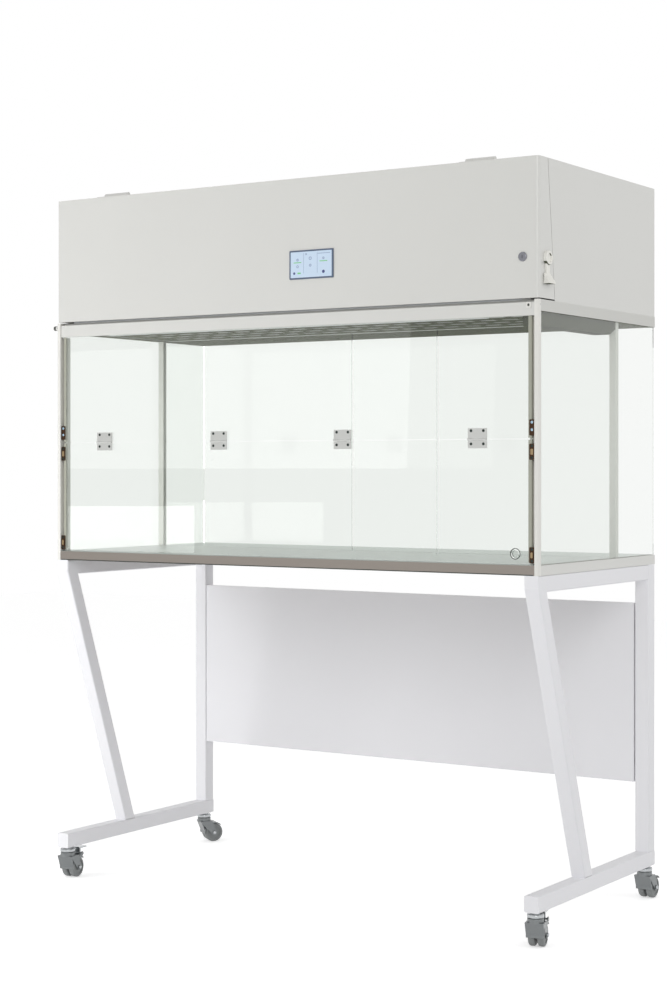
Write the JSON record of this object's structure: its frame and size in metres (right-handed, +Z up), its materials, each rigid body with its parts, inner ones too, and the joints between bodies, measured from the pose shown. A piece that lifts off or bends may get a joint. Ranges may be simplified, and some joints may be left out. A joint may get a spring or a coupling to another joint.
{
  "type": "laminar flow hood",
  "caption": "Clean-air bench with a glass working chamber, folding glass front window, hinged service cover and touch screen, on a castored tubular stand.",
  "frame": {"origin": "on the floor, below the middle of the overall box", "axes": "+X to the user's right, +Y to the back, +Z up; the window faces -Y"},
  "size_m": [1.532, 0.715, 1.905],
  "materials": {
    "stand_white": "smooth white powder coat",
    "cabinet_grey": "satin light grey powder coat",
    "satin_steel": "satin stainless",
    "clear_glass": "clear toughened glass",
    "bright_chrome": "bright plated",
    "wheel_tread": "dark grey moulded",
    "filter_paper": "pleated glass-fibre paper",
    "plain_aluminium": "mill finish",
    "screen_plastic": "glossy",
    "dark_plastic": "moulded",
    "bronze_metal": "dark bronze"
  },
  "bodies": {
    "hood": {"stand_front_leg_left": "stand_white", "stand_front_leg_right": "stand_white", "stand_rear_leg_left": "stand_white", "stand_rear_leg_right": "stand_white", "stand_foot_left": "stand_white", "stand_foot_right": "stand_white", "stand_rear_rail": "stand_white", "modesty_panel": "stand_white", "caster_heads": "bright_chrome", "base_frame": "cabinet_grey", "worktop": "satin_steel", "front_post_left": "cabinet_grey", "front_post_right": "cabinet_grey", "side_glass_left": "clear_glass", "side_glass_right": "clear_glass", "rear_channels": "satin_steel", "rear_glass_left": "clear_glass", "rear_glass_middle": "clear_glass", "rear_glass_right": "clear_glass", "canopy_tray": "cabinet_grey", "ceiling_diffuser": "plain_aluminium", "filter_frame": "plain_aluminium", "filter_media": "filter_paper", "plenum_box": "cabinet_grey", "control_box": "dark_plastic", "lamp": "screen_plastic", "lamp_gear": "cabinet_grey", "housing_shell": "cabinet_grey", "cover_hinges": "cabinet_grey"},
    "cover": {"front_cover": "cabinet_grey", "touch_screen": "screen_plastic"},
    "lock": {"cam_lock": "bright_chrome"},
    "latch": {"side_latch": "cabinet_grey"},
    "window_upper": {"window_rail": "cabinet_grey", "upper_pane": "clear_glass", "hinge_leaves_upper": "satin_steel", "catches_upper": "bronze_metal"},
    "window_lower": {"lower_pane": "clear_glass", "pane_plug": "clear_glass", "hinge_leaves_lower": "satin_steel", "catches_lower": "bronze_metal"},
    "lever_left": {"catch_lever_left": "bronze_metal"},
    "lever_right": {"catch_lever_right": "bronze_metal"},
    "impeller_left": {"impeller_left": "plain_aluminium"},
    "impeller_right": {"impeller_right": "plain_aluminium"},
    "fork_front_left": {"caster_fork_front_left": "bright_chrome"},
    "wheel_front_left_a": {"caster_wheel_front_left_a": "wheel_tread"},
    "wheel_front_left_b": {"caster_wheel_front_left_b": "wheel_tread"},
    "brake_front_left": {"caster_brake_front_left": "bright_chrome"},
    "fork_front_right": {"caster_fork_front_right": "bright_chrome"},
    "wheel_front_right_a": {"caster_wheel_front_right_a": "wheel_tread"},
    "wheel_front_right_b": {"caster_wheel_front_right_b": "wheel_tread"},
    "brake_front_right": {"caster_brake_front_right": "bright_chrome"},
    "fork_rear_left": {"caster_fork_rear_left": "bright_chrome"},
    "wheel_rear_left_a": {"caster_wheel_rear_left_a": "wheel_tread"},
    "wheel_rear_left_b": {"caster_wheel_rear_left_b": "wheel_tread"},
    "fork_rear_right": {"caster_fork_rear_right": "bright_chrome"},
    "wheel_rear_right_a": {"caster_wheel_rear_right_a": "wheel_tread"},
    "wheel_rear_right_b": {"caster_wheel_rear_right_b": "wheel_tread"}
  },
  "joints": [
    {"name": "cover_swing", "type": "hinge", "parent": "hood", "child": "cover", "pos_m": [0, -0.3105, 1.898], "axis": [-1, 0, 0], "range_deg": [0, 100]},
    {"name": "lock_turn", "type": "hinge", "parent": "cover", "child": "lock", "pos_m": [0.707, -0.3545, 1.651], "axis": [0, -1, 0], "range_deg": [0, 90]},
    {"name": "latch_turn", "type": "hinge", "parent": "cover", "child": "latch", "pos_m": [0.75, -0.3145, 1.649], "axis": [1, 0, 0], "range_deg": [0, 90]},
    {"name": "window_swing", "type": "hinge", "parent": "hood", "child": "window_upper", "pos_m": [0, -0.3465, 1.536], "axis": [-1, 0, 0], "range_deg": [0, 90]},
    {"name": "window_fold", "type": "hinge", "parent": "window_upper", "child": "window_lower", "pos_m": [0, -0.352, 1.2165], "axis": [-1, 0, 0], "range_deg": [0, 165]},
    {"name": "lever_left_turn", "type": "hinge", "parent": "window_lower", "child": "lever_left", "pos_m": [-0.73, -0.3495, 0.939], "axis": [0, 1, 0], "range_deg": [0, 90]},
    {"name": "lever_right_turn", "type": "hinge", "parent": "window_lower", "child": "lever_right", "pos_m": [0.73, -0.3495, 0.939], "axis": [0, 1, 0], "range_deg": [0, 90]},
    {"name": "impeller_left_spin", "type": "hinge", "parent": "hood", "child": "impeller_left", "pos_m": [-0.38, -0.1085, 1.749], "axis": [0, 0, 1], "continuous": true},
    {"name": "impeller_right_spin", "type": "hinge", "parent": "hood", "child": "impeller_right", "pos_m": [0.38, -0.1085, 1.749], "axis": [0, 0, 1], "continuous": true},
    {"name": "swivel_front_left", "type": "hinge", "parent": "hood", "child": "fork_front_left", "pos_m": [-0.73, -0.3325, 0.06], "axis": [0, 0, 1], "continuous": true},
    {"name": "roll_front_left_a", "type": "hinge", "parent": "fork_front_left", "child": "wheel_front_left_a", "pos_m": [-0.73362, -0.30675, 0.028], "axis": [0.9903, 0.1392, 0], "continuous": true},
    {"name": "roll_front_left_b", "type": "hinge", "parent": "fork_front_left", "child": "wheel_front_left_b", "pos_m": [-0.73362, -0.30675, 0.028], "axis": [0.9903, 0.1392, 0], "continuous": true},
    {"name": "brake_front_left_press", "type": "hinge", "parent": "fork_front_left", "child": "brake_front_left", "pos_m": [-0.73571, -0.2919, 0.063], "axis": [-0.9903, -0.1392, 0], "range_deg": [0, 22]},
    {"name": "swivel_front_right", "type": "hinge", "parent": "hood", "child": "fork_front_right", "pos_m": [0.73, -0.3325, 0.06], "axis": [0, 0, 1], "continuous": true},
    {"name": "roll_front_right_a", "type": "hinge", "parent": "fork_front_right", "child": "wheel_front_right_a", "pos_m": [0.72371, -0.30727, 0.028], "axis": [0.9703, 0.2419, 0], "continuous": true},
    {"name": "roll_front_right_b", "type": "hinge", "parent": "fork_front_right", "child": "wheel_front_right_b", "pos_m": [0.72371, -0.30727, 0.028], "axis": [0.9703, 0.2419, 0], "continuous": true},
    {"name": "brake_front_right_press", "type": "hinge", "parent": "fork_front_right", "child": "brake_front_right", "pos_m": [0.72008, -0.29272, 0.063], "axis": [-0.9703, -0.2419, 0], "range_deg": [0, 22]},
    {"name": "swivel_rear_left", "type": "hinge", "parent": "hood", "child": "fork_rear_left", "pos_m": [-0.73, 0.3035, 0.06], "axis": [0, 0, 1], "continuous": true},
    {"name": "roll_rear_left_a", "type": "hinge", "parent": "fork_rear_left", "child": "wheel_rear_left_a", "pos_m": [-0.71509, 0.3248, 0.028], "axis": [0.8192, -0.5736, 0], "continuous": true},
    {"name": "roll_rear_left_b", "type": "hinge", "parent": "fork_rear_left", "child": "wheel_rear_left_b", "pos_m": [-0.71509, 0.3248, 0.028], "axis": [0.8192, -0.5736, 0], "continuous": true},
    {"name": "swivel_rear_right", "type": "hinge", "parent": "hood", "child": "fork_rear_right", "pos_m": [0.73, 0.3035, 0.06], "axis": [0, 0, 1], "continuous": true},
    {"name": "roll_rear_right_a", "type": "hinge", "parent": "fork_rear_right", "child": "wheel_rear_right_a", "pos_m": [0.73, 0.3295, 0.028], "axis": [1, 0, 0], "continuous": true},
    {"name": "roll_rear_right_b", "type": "hinge", "parent": "fork_rear_right", "child": "wheel_rear_right_b", "pos_m": [0.73, 0.3295, 0.028], "axis": [1, 0, 0], "continuous": true}
  ]
}
